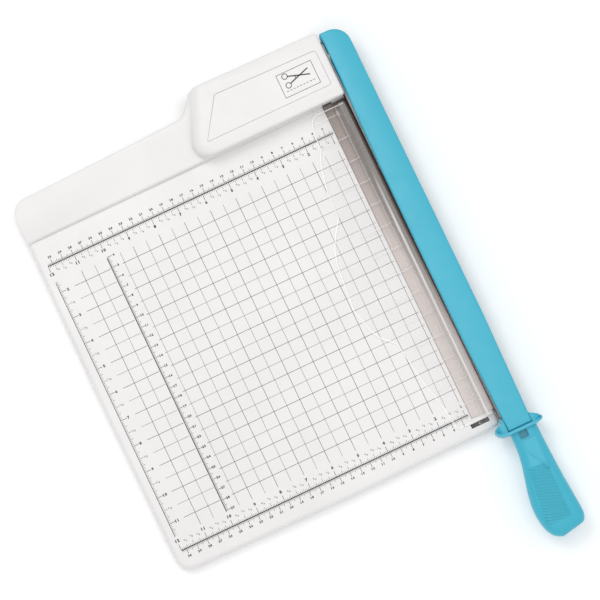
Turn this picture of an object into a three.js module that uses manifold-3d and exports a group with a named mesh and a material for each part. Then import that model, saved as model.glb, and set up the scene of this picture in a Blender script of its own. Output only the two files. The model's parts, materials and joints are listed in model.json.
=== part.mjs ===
// Guillotine paper trimmer: a white ribbed base, a cover that forms the fence and the pivot housing,
// a steel bed strip, a clear finger guard that presses the paper down, and a hinged arm with blade
// and handle.
// Units are millimetres, +Z is up. Dimensions are given from the cutting corner: x = 0 is the
// cutting line, y = 0 is the fence, z = 0 is the table. The finished group is then moved so that
// the origin is the centre of the footprint, on the table.
import * as THREE from 'three';
import { mergeVertices } from 'three/addons/utils/BufferGeometryUtils.js';
import { ParametricGeometry } from 'three/addons/geometries/ParametricGeometry.js';
import Module from 'manifold-3d';

const wasm = await Module();
wasm.setup();

// ---------------------------------------------------------------- driving dimensions
const GAP = 0.3; // clearance between neighbouring pieces
const THROUGH = 1; // how far a cutting tool runs past the face it opens

const ORIGIN = [-139.4, -187.62, 0]; // footprint centre, seen from the cutting corner

const DECK_TOP = 19;
const DECK_THICKNESS = 3;
const BASE_BOTTOM = 3;
const BASE_EDGE_RADIUS = 3.5;
const BASE_WALL = 3;
const BASE_RIGHT_RAIL = 9;
// x, y, corner radius, counter-clockwise from the front left
const BASE_CORNERS = [
  [-312.6, -323.4, 13], [-150, -325.8, 0], [0, -324.8, 4.5], [0, 61.8, 4.5],
  [-124.6, 63.6, 5], [-136.4, 48.2, 8], [-142.6, 44.2, 6], [-312.6, 38.4, 14], [-314, -150, 0],
];
const FENCE_TOP_FRONT = 24.4;
const FENCE_TOP_BACK = 26.2;
const FENCE_RAMP = 2.2;
const RIB_THICKNESS = 1.8;
const RIB_BOTTOM = 6;
const RIB_X = [-262, -212, -162, -112, -62];
const RIB_Y = [-270, -216, -162, -108, -54, 8];

const STRIP_WIDTH = 21.2;
const STRIP_LENGTH = 309.4;
const STRIP_THICKNESS = 2;
const STRIP_LEG_THICKNESS = 2.2;
const STRIP_LEG_BOTTOM = 7;
const STRIP_SCREW_Y = [-20, -110, -200, -290];
const STRIP_SCREW_Z = 11.5;

const COVER_BOTTOM = DECK_TOP + GAP;
const COVER_WALL = 2.6;
const FENCE_ROOF = 2.2;
const HOUSING_TOP = 45;
const HOUSING_FRONT_LEFT = -150.1;
const HOUSING_BACK_LEFT = -123.2;
// height, how far all edges have turned inwards, how much further the left one has
const HOUSING_RINGS = [
  [COVER_BOTTOM, 0, 0], [35.6, 0, 0], [38.4, 0, 0.5], [40.8, 0, 1.7], [42.6, 0.1, 3.3],
  [43.8, 0.5, 5.3], [44.6, 1.2, 7.4], [HOUSING_TOP, 2.4, 9.6],
];
const PANEL_CORNERS = [[-129.4, 12.6, 0.6], [-7.2, 12.6, 2], [-7.4, 46.2, 3], [-105.6, 48.4, 2]];
const PANEL_THICKNESS = 0.9;
const PANEL_POCKET = 1.2;
const COVER_SCREWS = [[-128, 14], [-104, 46], [-52, 46], [-214, 20], [-284, 20]];

const PIVOT_Y = 38;
const PIVOT_Z = 28;
const BOLT_RADIUS = 3;
const BRACKET_SCREWS = [[-33, 26], [-33, 46]];
const BRACKET_PLATE = [-9.2, -6.2];
const BRACKET_FLOOR = DECK_TOP + GAP;
const BRACKET_THICKNESS = 2.5;
const RUNNING_CLEARANCE = 0.08;

const ARM_LEFT = 3;
const ARM_RIGHT = 26.6;
const ARM_BACK = 59.1;
const ARM_FRONT = -334.8;
const ARM_BOTTOM = 15.5;
// the arm's left edge, front to back, bows outwards towards its middle
const ARM_LEFT_EDGE = [
  [2.1, -334.8], [1.8, -318], [0.3, -250], [0.1, -170], [0.5, -80], [1.9, -21], [3, 20],
];
const ARM_CORNER = 16;
const ARM_EDGE_RADIUS = 1.6;
const ARM_TOP = 38;
const ARM_WALL = 2.6;
const BLADE_LEFT = 0.4;
const BLADE_THICKNESS = 2;
const BLADE_TOP = 34;
const BLADE_BACK = 53;
const BLADE_SCREW_Y = [5, -70, -145, -220, -295];
const BLADE_SCREW_Z = 26;
const ARM_WEBS = [-300, -250, -190, -130, -70, -10];

const GUARD_BOTTOM = 20.8;
const GUARD_THICKNESS = 1.8;
const GUARD_TOP = 33.5;
const GUARD_RIB_COUNT = 14;
const GUARD_RIB_PITCH = 21.8;
const GUARD_FIRST_RIB = -11.9;
const GUARD_SLOT = { left: -24.9, right: -7.4, front: -318, back: -314.1, floor: 8.5 };
const GUARD_SPRING_BACK = { x: -17, y: 8, radius: 2.6, wire: 0.45 };
const GUARD_SPRING_FRONT = { x: -15.6, y: -316.05, radius: 1.25, wire: 0.28 };
const SPRING_POCKET_FLOOR = 9;

// hilt flange seen from above, left tip first; the rim is its edge towards the hand
const FLANGE_OUTLINE = [
  [-8.8, -330.4], [-7, -328.2], [-4.4, -326.7], [-1.4, -325.7], [24.6, -326.3], [27.6, -327.9],
  [31.4, -330.2], [34, -332.4], [35.2, -334.8], [33.6, -336.8], [30.4, -337.9], [26.6, -338.3],
  [1.9, -338], [-3.2, -337.1], [-6.8, -335], [-8.5, -332.6],
];
const FLANGE_RIM = 2.3;
const FLANGE_LEFT = -9.4;
const FLANGE_RIGHT = 35.8;
const SLEEVE_LEFT = 1.6;
const SLEEVE_RIGHT = 25.2;
const HANDLE_SPLIT = 25;
// the small post that runs from the hilt along the arm's left side
const HILT_POST = { x: [-1, 1.3], y: [-328, -322.8], z: [HANDLE_SPLIT, 35] };
const HANDLE_BOTTOM = 13;
// left point (x, y), right point (x, y), bottom and top of each cross-section, hilt to end
const HANDLE_SECTIONS = [
  [2.6, -337, 28, -337, 15.5, 36.2], [2.6, -345, 28.4, -345, 15.8, 35.6],
  [2, -356, 28.5, -356, 15.6, 35.6], [0.2, -367, 28.8, -367, 14.8, 36.2],
  [-2.8, -379, 29.3, -379, 14, 37], [-5.8, -391, 30, -391, 13.3, 37.8],
  [-7.8, -403, 30.9, -403, 13, 38.4], [-8, -413, 31.6, -412.4, 13.2, 38.4],
  [-7, -421, 32.2, -420.4, 13.8, 37.8], [-4.8, -428.6, 32.2, -426.8, 15, 36.6],
  [-1.6, -434, 31.2, -431, 16.8, 34.8], [2.6, -437.2, 29.6, -433.6, 19, 32.4],
  [6.6, -438.8, 27.2, -435, 21.4, 29.6],
];
const HANDLE_SQUARENESS = 2.7;
const HANDLE_SIDES = 28;
const HANDLE_SCREWS = [[13, -352], [13, -408]];
const HANDLE_SCREW_RADIUS = 1.6;
const HANDLE_SCREW_HEAD_DEPTH = 6;
const HANDLE_SCREW_TOP = 31;
const HOLLOW_TOP = 32.4;
const THUMB_HOLLOW_FLOOR = 33.6;
const THUMB_RECESS_FLOOR = 34.5;
// the arm's tang, which the handle's two halves close round
const TANG_X = [5.4, 20.6];
const TANG_Z = [20, 32];
const TANG_END = -366;

const REST_POCKET_Y = [-322.9, -316.7];
const REST_POCKET_Z = [8.7, 15.5];

const FOOT_RADIUS = 8;
const FOOT_POSITIONS = [[-298, -309], [-22, -300], [-298, 22], [-24, 44], [-158, 28]];

// ---------------------------------------------------------------- finishes
const FINISH = {
  white: { color: 0xf3f1f0, roughness: 0.42, metalness: 0 },
  teal: { color: 0x55bad3, roughness: 0.4, metalness: 0 },
  clear: { color: 0xeef4f4, roughness: 0.06, metalness: 0, transparent: true, opacity: 0.35 },
  strip: { color: 0x9d948c, roughness: 0.35, metalness: 1 },
  blade: { color: 0x8f8d8b, roughness: 0.28, metalness: 1 },
  zinc: { color: 0xb7bac0, roughness: 0.38, metalness: 1 },
  spring: { color: 0x8b9097, roughness: 0.3, metalness: 1 },
  bush: { color: 0xb59347, roughness: 0.35, metalness: 1 },
  rubber: { color: 0x2b2c2e, roughness: 0.9, metalness: 0 },
};

// ---------------------------------------------------------------- solid helpers
function solidOf(geometry) {
  const bare = new THREE.BufferGeometry();
  bare.setAttribute('position', geometry.getAttribute('position').clone());
  if (geometry.index) bare.setIndex(geometry.index.clone());
  const merged = mergeVertices(bare, 1e-4);
  const faces = [];
  const index = merged.index.array;
  for (let i = 0; i < index.length; i += 3) {
    const [a, b, c] = [index[i], index[i + 1], index[i + 2]];
    if (a !== b && b !== c && c !== a) faces.push(a, b, c);
  }
  return new wasm.Manifold(new wasm.Mesh({
    numProp: 3,
    vertProperties: new Float32Array(merged.getAttribute('position').array),
    triVerts: new Uint32Array(faces),
  }));
}

function geometryOf(solid) {
  const mesh = solid.getMesh();
  const geometry = new THREE.BufferGeometry();
  geometry.setAttribute('position', new THREE.BufferAttribute(mesh.vertProperties, 3));
  geometry.setIndex(new THREE.BufferAttribute(mesh.triVerts, 1));
  geometry.computeVertexNormals();
  return geometry;
}

const union = (solids) => solids.reduce((sum, solid) => sum.add(solid));
const cut = (solid, tools) => tools.reduce((rest, tool) => rest.subtract(tool), solid);

// A polygon whose corners are [x, y, radius]; a zero radius keeps the corner sharp.
function roundedOutline(corners, segments = 5) {
  const points = [];
  corners.forEach(([x, y, radius], i) => {
    const corner = new THREE.Vector2(x, y);
    if (!radius) {
      points.push(corner);
      return;
    }
    const [px, py] = corners.at(i - 1);
    const [nx, ny] = corners[(i + 1) % corners.length];
    const toPrevious = new THREE.Vector2(px, py).sub(corner).normalize();
    const toNext = new THREE.Vector2(nx, ny).sub(corner).normalize();
    const half = Math.acos(toPrevious.dot(toNext)) / 2;
    const reach = radius / Math.tan(half);
    const bisector = toPrevious.clone().add(toNext).normalize();
    const centre = corner.clone().addScaledVector(bisector, radius / Math.sin(half));
    const start = corner.clone().addScaledVector(toPrevious, reach).sub(centre);
    const end = corner.clone().addScaledVector(toNext, reach).sub(centre);
    const sweep = Math.atan2(start.cross(end), start.dot(end));
    for (let k = 0; k <= segments; k += 1) {
      const turned = start.clone().rotateAround(new THREE.Vector2(), (sweep * k) / segments);
      points.push(turned.add(centre));
    }
  });
  return points;
}

const outlineOf = (pairs) => pairs.map(([x, y]) => new THREE.Vector2(x, y));

function prismZ(outline, bottom, top) {
  const shape = new THREE.Shape(outline);
  const geometry = new THREE.ExtrudeGeometry(shape, { depth: top - bottom, bevelEnabled: false });
  return solidOf(geometry.translate(0, 0, bottom));
}

// A vertical prism whose top and bottom edges are rounded.
function pillowZ(outline, bottom, top, radius, segments = 3) {
  const geometry = new THREE.ExtrudeGeometry(new THREE.Shape(outline), {
    depth: top - bottom - 2 * radius,
    bevelThickness: radius,
    bevelSize: radius,
    bevelOffset: -radius,
    bevelSegments: segments,
  });
  return solidOf(geometry.translate(0, 0, bottom + radius));
}

// A vertical prism whose top edge alone is rounded.
function domedZ(outline, bottom, top, radius, segments = 3) {
  const pillow = pillowZ(outline, bottom - 2 * radius, top, radius, segments);
  return pillow.intersect(slab({ z: [bottom, top + THROUGH] }));
}

// An outline in (y, z), run along X.
function prismX(outline, left, right) {
  const shape = new THREE.Shape(outline);
  const geometry = new THREE.ExtrudeGeometry(shape, { depth: right - left, bevelEnabled: false });
  const turn = new THREE.Matrix4().makeBasis(
    new THREE.Vector3(0, 1, 0), new THREE.Vector3(0, 0, 1), new THREE.Vector3(1, 0, 0),
  );
  return solidOf(geometry.applyMatrix4(turn).translate(left, 0, 0));
}

// An outline in (x, z), run along Y.
function prismY(outline, front, back) {
  const shape = new THREE.Shape(outline);
  const geometry = new THREE.ExtrudeGeometry(shape, { depth: back - front, bevelEnabled: false });
  return solidOf(geometry.rotateX(Math.PI / 2).translate(0, back, 0));
}

function slab({ x = [-600, 600], y = [-600, 600], z = [-100, 100] }) {
  const geometry = new THREE.BoxGeometry(x[1] - x[0], y[1] - y[0], z[1] - z[0]);
  return solidOf(geometry.translate((x[0] + x[1]) / 2, (y[0] + y[1]) / 2, (z[0] + z[1]) / 2));
}

function cylinder(radius, length, segments = 20) {
  return new THREE.CylinderGeometry(radius, radius, length, segments);
}

function postZ(x, y, bottom, top, radius, segments) {
  const geometry = cylinder(radius, top - bottom, segments).rotateX(Math.PI / 2);
  return solidOf(geometry.translate(x, y, (bottom + top) / 2));
}

function rodX(left, right, y, z, radius, segments) {
  const geometry = cylinder(radius, right - left, segments).rotateZ(Math.PI / 2);
  return solidOf(geometry.translate((left + right) / 2, y, z));
}

// A turned piece: profile is [radius, height] from the axis, around the axis, back to the axis.
function turned(profile, segments = 16) {
  return new THREE.LatheGeometry(outlineOf(profile), segments).rotateX(Math.PI / 2);
}

// A closed solid through matching rings of points, with a fan over each end.
function loft(rings) {
  const count = rings[0].length;
  const end = (ring) => {
    const middle = new THREE.Vector3();
    ring.forEach((point) => middle.addScaledVector(point, 1 / count));
    return Array(count).fill(middle);
  };
  const rows = [end(rings[0]), ...rings, end(rings.at(-1))];
  const surface = (u, v, target) => {
    const row = rows[Math.round(v * (rows.length - 1))];
    target.copy(row[Math.round(u * count) % count]);
  };
  return solidOf(new ParametricGeometry(surface, count, rows.length - 1));
}

// A helix of round wire along Z.
function coil({ radius, wire, bottom, top, turns }) {
  const rise = top - bottom - 2 * wire;
  const steps = turns * 10;
  const points = [];
  for (let k = 0; k <= steps; k += 1) {
    const angle = (2 * Math.PI * turns * k) / steps;
    const height = bottom + wire + (rise * k) / steps;
    points.push(new THREE.Vector3(radius * Math.cos(angle), radius * Math.sin(angle), height));
  }
  const path = new THREE.CatmullRomCurve3(points);
  const section = new THREE.Shape();
  section.absarc(0, 0, wire, 0, 2 * Math.PI, false);
  const options = { steps, curveSegments: 3, bevelEnabled: false, extrudePath: path };
  return new THREE.ExtrudeGeometry(section, options);
}

// ---------------------------------------------------------------- screws
// Countersunk screw along +Z with its head's flat face at z = 0 and its tip at -length.
function countersunkScrew({ radius, head, length }) {
  const cone = head - radius;
  return turned([
    [0, -length], [radius * 0.7, -length], [radius, -length + radius * 0.6], [radius, -cone],
    [head, 0], [head * 0.45, 0], [head * 0.3, -cone * 0.5], [0, -cone * 0.5],
  ], 12);
}

// Pan head screw along +Z: the head's seat at z = 0, the shank below it.
function panScrew({ radius, head, height, length }) {
  return turned([
    [0, -length], [radius * 0.7, -length], [radius, -length + radius * 0.6], [radius, 0],
    [head, 0], [head, height * 0.55], [head * 0.72, height], [head * 0.35, height],
    [head * 0.25, height * 0.5], [0, height * 0.5],
  ], 12);
}

// ---------------------------------------------------------------- base
const baseOutline = roundedOutline(BASE_CORNERS);

function baseRibs() {
  const ribs = RIB_X.map((x) => slab({
    x: [x, x + RIB_THICKNESS], y: [-400, 100], z: [RIB_BOTTOM, DECK_TOP],
  }));
  RIB_Y.forEach((y) => ribs.push(slab({
    x: [-400, 10], y: [y, y + RIB_THICKNESS], z: [RIB_BOTTOM, DECK_TOP],
  })));
  return union(ribs);
}

function baseBosses() {
  const feet = FOOT_POSITIONS.map(([x, y]) => postZ(x, y, BASE_BOTTOM + GAP, DECK_TOP, 9));
  const screws = COVER_SCREWS.map(([x, y]) => postZ(x, y, RIB_BOTTOM, DECK_TOP, 5));
  const { left, right, front, back, floor } = GUARD_SLOT;
  const pocket = slab({
    x: [left - 2, right + 2], y: [front - 2, back + 2], z: [floor - 2, DECK_TOP],
  });
  const spring = GUARD_SPRING_BACK;
  const seat = postZ(spring.x, spring.y, SPRING_POCKET_FLOOR - 2, DECK_TOP, spring.radius + 3);
  return union([...feet, ...screws, pocket, seat]);
}

function baseCavity() {
  const inner = slab({
    x: [-400, -BASE_RIGHT_RAIL], y: [-400, 400], z: [0, DECK_TOP - DECK_THICKNESS],
  });
  const shrunk = BASE_CORNERS.map(([x, y, radius]) => {
    const inward = [x < -300 ? BASE_WALL : -BASE_WALL, y < -300 ? BASE_WALL : -BASE_WALL];
    const [dx, dy] = radius ? inward : [x < -300 ? BASE_WALL : 0, y < -300 ? BASE_WALL : 0];
    return [x + dx, y + dy, Math.max(radius - BASE_WALL, radius ? 1 : 0)];
  });
  return prismZ(roundedOutline(shrunk), 0, DECK_TOP - DECK_THICKNESS).intersect(inner);
}

function stripRecess() {
  const seat = DECK_TOP - STRIP_THICKNESS - GAP;
  const front = -STRIP_LENGTH - GAP;
  const left = -STRIP_WIDTH - GAP;
  return union([
    slab({ x: [left, THROUGH], y: [front, GAP], z: [seat, DECK_TOP + THROUGH] }),
    slab({
      x: [-STRIP_LEG_THICKNESS - GAP, THROUGH], y: [front, GAP],
      z: [STRIP_LEG_BOTTOM - GAP, DECK_TOP + THROUGH],
    }),
  ]);
}

function baseHoles() {
  const { left, right, front, back, floor } = GUARD_SLOT;
  const spring = GUARD_SPRING_BACK;
  const holes = [
    slab({ x: [left, right], y: [front, back], z: [floor, DECK_TOP + THROUGH] }),
    postZ(spring.x, spring.y, SPRING_POCKET_FLOOR, DECK_TOP + THROUGH, spring.radius + 1),
  ];
  FOOT_POSITIONS.forEach(([x, y]) => holes.push(postZ(x, y, 0, 11, 2.5 + GAP, 12)));
  COVER_SCREWS.forEach(([x, y]) => holes.push(postZ(x, y, 0, DECK_TOP + THROUGH, 1.5 + GAP, 12)));
  STRIP_SCREW_Y.forEach((y) => holes.push(rodX(-8.5, 0, y, STRIP_SCREW_Z, 1.5 + GAP, 12)));
  BRACKET_SCREWS.forEach(([x, y]) => holes.push(postZ(x, y, 6.5, DECK_TOP + THROUGH, 2 + GAP, 12)));
  holes.push(slab({ x: [-5.8, THROUGH], y: REST_POCKET_Y, z: REST_POCKET_Z }));
  return holes;
}

function baseDeck() {
  const block = domedZ(baseOutline, BASE_BOTTOM, DECK_TOP, BASE_EDGE_RADIUS);
  const underCover = prismZ(baseOutline, BASE_BOTTOM, DECK_TOP).intersect(slab({ y: [0, 80] }));
  const bracketSeat = slab({ x: [-40, -4], y: [17, 55], z: [RIB_BOTTOM, DECK_TOP - 1] });
  const cavity = cut(baseCavity(), [baseRibs(), baseBosses(), bracketSeat]);
  return cut(block.add(underCover), [cavity, stripRecess(), ...baseHoles()]);
}

function foot([x, y]) {
  const pad = turned([
    [0, 0], [FOOT_RADIUS - 0.8, 0], [FOOT_RADIUS, 0.8], [FOOT_RADIUS, BASE_BOTTOM],
    [2.5, BASE_BOTTOM], [2.5, 9.5], [1.8, 10.5], [0, 10.5],
  ], 20);
  return solidOf(pad.translate(x, y, 0));
}

// ---------------------------------------------------------------- arm rest
function armRest() {
  const profile = outlineOf([
    [-5.5, 9], [5.5, 9], [6.5, 10], [6.5, 14.2], [5.5, 15.2], [-5.5, 15.2],
  ]);
  return prismY(profile, REST_POCKET_Y[0] + GAP, REST_POCKET_Y[1] - GAP);
}

// ---------------------------------------------------------------- bed strip
function bedStrip() {
  const bottom = DECK_TOP - STRIP_THICKNESS;
  const section = outlineOf([
    [-STRIP_WIDTH, bottom], [-STRIP_LEG_THICKNESS, bottom],
    [-STRIP_LEG_THICKNESS, STRIP_LEG_BOTTOM], [0, STRIP_LEG_BOTTOM], [0, DECK_TOP],
    [-STRIP_WIDTH + 0.4, DECK_TOP], [-STRIP_WIDTH, DECK_TOP - 0.4],
  ]);
  const holes = STRIP_SCREW_Y.map((y) => screwHoleX(y, STRIP_SCREW_Z, 0));
  return cut(prismY(section, -STRIP_LENGTH, 0), holes);
}

// Countersunk hole whose wide mouth faces +X at the given plane.
function screwHoleX(y, z, face) {
  const profile = [[0, -20], [1.5 + GAP, -20], [1.5 + GAP, -1.3], [3, 0], [3, 1], [0, 1]];
  return solidOf(turned(profile, 12).rotateY(Math.PI / 2).translate(face, y, z));
}

function bedScrew(y) {
  const screw = countersunkScrew({ radius: 1.5, head: 2.75, length: 8 });
  return solidOf(screw.rotateY(Math.PI / 2).translate(-0.1, y, STRIP_SCREW_Z));
}

// ---------------------------------------------------------------- cover: fence and housing
// The fence band: a low roof that falls towards its front edge.
function fenceBand() {
  const profile = outlineOf([
    [0, COVER_BOTTOM], [80, COVER_BOTTOM], [80, FENCE_TOP_BACK + 2], [40, FENCE_TOP_BACK],
    [FENCE_RAMP, FENCE_TOP_FRONT], [0.9, FENCE_TOP_FRONT - 0.7], [0.2, FENCE_TOP_FRONT - 1.9],
    [0, FENCE_TOP_FRONT - 3.2],
  ]);
  const block = domedZ(baseOutline, COVER_BOTTOM, FENCE_TOP_BACK + 1, BASE_EDGE_RADIUS);
  return prismX(profile, -330, -100).intersect(block);
}

// The housing: upright walls with a narrow rounded edge, and a wide one on its left side.
function housingBlock() {
  const rings = HOUSING_RINGS.map(([z, inset, soft]) => {
    const outline = roundedOutline([
      [HOUSING_FRONT_LEFT + soft + inset, inset, 14], [-inset, inset, 2.5],
      [-inset, 61.4 - inset, 3], [HOUSING_BACK_LEFT + soft + inset, 62.8 - inset, 4],
    ], 6);
    return outline.map(({ x, y }) => new THREE.Vector3(x, y, z));
  });
  return loft(rings).intersect(prismZ(baseOutline, 0, HOUSING_TOP + THROUGH));
}

function coverCavity() {
  const wall = COVER_WALL;
  const housing = roundedOutline([
    [-139.6, wall, 12], [-wall, wall, 2], [-wall, 61.4 - wall, 2], [-114, 62 - wall, 4],
  ]);
  const fence = roundedOutline([
    [-309.6, wall, 3], [-146, wall, 1], [-146, 40, 1], [-309.6, 35, 8],
  ]);
  return union([
    prismZ(housing, 0, HOUSING_TOP - COVER_WALL - PANEL_POCKET),
    prismZ(fence, 0, FENCE_TOP_FRONT - FENCE_ROOF).subtract(slab({
      x: [-212, -210], y: [0, 60], z: [0, 60],
    })),
  ]);
}

function coverPosts() {
  return COVER_SCREWS.map(([x, y]) => {
    const top = x > -140 ? HOUSING_TOP - COVER_WALL - 0.5 : FENCE_TOP_FRONT - 1;
    return postZ(x, y, COVER_BOTTOM, top, 4);
  });
}

function fenceCover() {
  const shell = cut(housingBlock().add(fenceBand()), [coverCavity()]);
  const grown = PANEL_CORNERS.map(([x, y, radius], i) => [
    x + (i === 0 || i === 3 ? -GAP : GAP), y + (i < 2 ? -GAP : GAP), radius + GAP,
  ]);
  const notch = slab({ x: [-21.8, -12.8], y: [-5, COVER_WALL + 1], z: [0, 33] });
  const screws = COVER_SCREWS.map(([x, y]) => postZ(x, y, 0, x > -140 ? 33 : 23, 1.5 + GAP, 12));
  return cut(union([shell, ...coverPosts()]), [
    prismZ(roundedOutline(grown), HOUSING_TOP - PANEL_POCKET, HOUSING_TOP + THROUGH),
    rodX(-8, 1, PIVOT_Y, PIVOT_Z, 6.2, 20),
    notch,
    ...screws,
  ]);
}

function housingPanel() {
  const outline = roundedOutline(PANEL_CORNERS);
  const bottom = HOUSING_TOP - PANEL_THICKNESS;
  return pillowZ(outline, bottom, HOUSING_TOP, 0.3, 1);
}

function coverScrew([x, y]) {
  const length = x > -140 ? 26 : 16;
  const screw = panScrew({ radius: 1.5, head: 3, height: 2, length });
  return solidOf(screw.rotateX(Math.PI).translate(x, y, RIB_BOTTOM - GAP));
}

// ---------------------------------------------------------------- pivot
function pivotBracket() {
  const foot = slab({
    x: [-38, BRACKET_PLATE[1]], y: [20, 53], z: [BRACKET_FLOOR, BRACKET_FLOOR + BRACKET_THICKNESS],
  });
  const plate = prismX(roundedOutline([
    [20, BRACKET_FLOOR, 0], [53, BRACKET_FLOOR, 0], [47, 38.5, 6], [29, 38.5, 6],
  ]), ...BRACKET_PLATE);
  const holes = BRACKET_SCREWS.map(([x, y]) => postZ(x, y, 10, 40, 2 + GAP, 12));
  const pivotHole = rodX(-12, 0, PIVOT_Y, PIVOT_Z, BOLT_RADIUS + RUNNING_CLEARANCE, 24);
  return cut(foot.add(plate), [...holes, pivotHole]);
}

function bracketScrew([x, y]) {
  const screw = panScrew({ radius: 2, head: 3.6, height: 2.4, length: 13 });
  return solidOf(screw.translate(x, y, BRACKET_FLOOR + BRACKET_THICKNESS + GAP));
}

// A ring, hexagon or plain, on the pivot axis.
function pivotRing(left, right, outer, inner, sides = 24) {
  const ring = rodX(left, right, PIVOT_Y, PIVOT_Z, outer, sides);
  return ring.subtract(rodX(left - THROUGH, right + THROUGH, PIVOT_Y, PIVOT_Z, inner, 24));
}

function pivotBolt() {
  const head = rodX(-26.4, -22.2, PIVOT_Y, PIVOT_Z, 5.5, 6);
  return head.add(rodX(-22.4, 20.6, PIVOT_Y, PIVOT_Z, BOLT_RADIUS, 24));
}

function pivotSpring() {
  const geometry = coil({ radius: 4.4, wire: 0.7, bottom: -20, top: -9.5, turns: 4 });
  return solidOf(geometry.rotateY(Math.PI / 2).translate(0, PIVOT_Y, PIVOT_Z));
}

// ---------------------------------------------------------------- arm
function armOutline() {
  const back = roundedOutline([
    [ARM_RIGHT + 0.4, -230, 0], [ARM_RIGHT, ARM_BACK, ARM_CORNER],
    [ARM_LEFT, ARM_BACK, 0], [ARM_LEFT, 20, 0],
  ], 6);
  const front = outlineOf([...ARM_LEFT_EDGE].reverse().slice(1));
  return [...back, ...front, new THREE.Vector2(ARM_RIGHT - 1.8, ARM_FRONT)];
}

function armBeam() {
  const block = domedZ(armOutline().reverse(), ARM_BOTTOM, ARM_TOP, ARM_EDGE_RADIUS);
  const channel = slab({
    x: [ARM_LEFT + 3, ARM_RIGHT - ARM_WALL - 2], y: [ARM_FRONT + 14, ARM_BACK - ARM_WALL - 2],
    z: [0, ARM_TOP - 2.6],
  });
  const rebate = slab({
    x: [-5, BLADE_LEFT + BLADE_THICKNESS + GAP], y: [-400, BLADE_BACK + GAP],
    z: [0, BLADE_TOP + GAP],
  });
  const tang = slab({ x: TANG_X, y: [TANG_END, ARM_FRONT + 2], z: TANG_Z });
  const webs = ARM_WEBS.map((y) => slab({
    x: [ARM_LEFT + 2, ARM_RIGHT - 2], y: [y, y + 2], z: [24, ARM_TOP - 2],
  }));
  const screws = BLADE_SCREW_Y.map((y) => rodX(0, 12, y, BLADE_SCREW_Z, 1.5 + GAP, 12));
  const bush = rodX(-1, 12, PIVOT_Y, PIVOT_Z, 5.6 + GAP, 24);
  const body = union([cut(block, [channel, rebate]), ...webs, tang]);
  const [tangScrewX, tangScrewY] = HANDLE_SCREWS[0];
  const tangHole = postZ(tangScrewX, tangScrewY, 0, 60, HANDLE_SCREW_RADIUS + GAP, 12);
  return cut(body, [...screws, bush, tangHole]);
}

function blade() {
  const profile = outlineOf([
    [BLADE_BACK - 3, BLADE_TOP], [-320, BLADE_TOP], [-320, 17.4], [-314.5, 16.6], [-310, 12.4],
    [-260, 9.4], [-200, 8.2], [-140, 8], [-80, 8.8], [-20, 10.8], [12, 13], [24, 17], [34, 17.8],
    [46, 19], [BLADE_BACK, 24], [BLADE_BACK, BLADE_TOP - 3],
  ]);
  const plate = prismX(profile.reverse(), BLADE_LEFT, BLADE_LEFT + BLADE_THICKNESS);
  const holes = BLADE_SCREW_Y.map((y) => bladeScrewHole(y));
  return cut(plate, [bladeGrind(), ...holes, rodX(-2, 6, PIVOT_Y, PIVOT_Z, 5.6 + GAP, 24)]);
}

// The ground bevel on the outer side of the cutting edge.
function bladeGrind() {
  const outer = BLADE_LEFT + BLADE_THICKNESS;
  const inner = BLADE_LEFT + 0.4;
  const wedge = outlineOf([
    [outer + 1, 4], [outer + 1, 13], [outer, 12], [inner, 7.6], [inner, 4],
  ]);
  return prismY(wedge, -330, 30);
}

function bladeScrewHole(y) {
  const profile = [[0, -20], [1.5 + GAP, -20], [1.5 + GAP, -1.3], [3, 0], [3, 1], [0, 1]];
  const tool = turned(profile, 12).rotateY(-Math.PI / 2);
  return solidOf(tool.translate(BLADE_LEFT, y, BLADE_SCREW_Z));
}

function bladeScrew(y) {
  const screw = countersunkScrew({ radius: 1.5, head: 2.7, length: 6.5 });
  return solidOf(screw.rotateY(-Math.PI / 2).translate(BLADE_LEFT + 0.15, y, BLADE_SCREW_Z));
}

// ---------------------------------------------------------------- handle
// The grip: rounded cross-sections joined end to end.
function handleGrip() {
  const power = (value) => Math.sign(value) * Math.abs(value) ** (2 / HANDLE_SQUARENESS);
  const rings = HANDLE_SECTIONS.map(([leftX, leftY, rightX, rightY, bottom, top]) => {
    const ring = [];
    for (let k = 0; k < HANDLE_SIDES; k += 1) {
      const angle = (2 * Math.PI * k) / HANDLE_SIDES;
      const across = (1 + power(Math.cos(angle))) / 2;
      const up = (1 + power(Math.sin(angle))) / 2;
      ring.push(new THREE.Vector3(
        leftX + (rightX - leftX) * across,
        leftY + (rightY - leftY) * across,
        bottom + (top - bottom) * up,
      ));
    }
    return ring;
  });
  return loft(rings);
}

// The hilt: a wing-shaped collar round the arm's end with a raised rim towards the hand.
function hiltFlange() {
  const plan = outlineOf(FLANGE_OUTLINE).reverse();
  const behindRim = outlineOf(FLANGE_OUTLINE.map(([x, y]) => [x, y + FLANGE_RIM])).reverse();
  const face = (inset, top) => prismY(roundedOutline([
    [FLANGE_LEFT + inset, 12 + inset, 9], [FLANGE_RIGHT - inset, 12 + inset, 9],
    [FLANGE_RIGHT - inset, top, 7], [FLANGE_LEFT + inset, top, 7],
  ]), -345, -320);
  const collar = prismZ(plan, 0, 60).intersect(face(1.2, 36));
  const lip = cut(prismZ(plan, 0, 60), [prismZ(behindRim, -THROUGH, 60 + THROUGH)]);
  const sleeve = slab({
    x: [SLEEVE_LEFT, SLEEVE_RIGHT], y: [ARM_FRONT - GAP, -320], z: [ARM_BOTTOM - GAP, 60],
  });
  return union([collar, lip.intersect(face(0, 40.4)), slab(HILT_POST)]).subtract(sleeve);
}

function handleBody() {
  const socket = slab({
    x: [TANG_X[0] - GAP, TANG_X[1] + GAP], y: [TANG_END - GAP, -320],
    z: [TANG_Z[0] - GAP, TANG_Z[1] + GAP],
  });
  return cut(handleGrip().add(hiltFlange()), [socket]);
}

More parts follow.
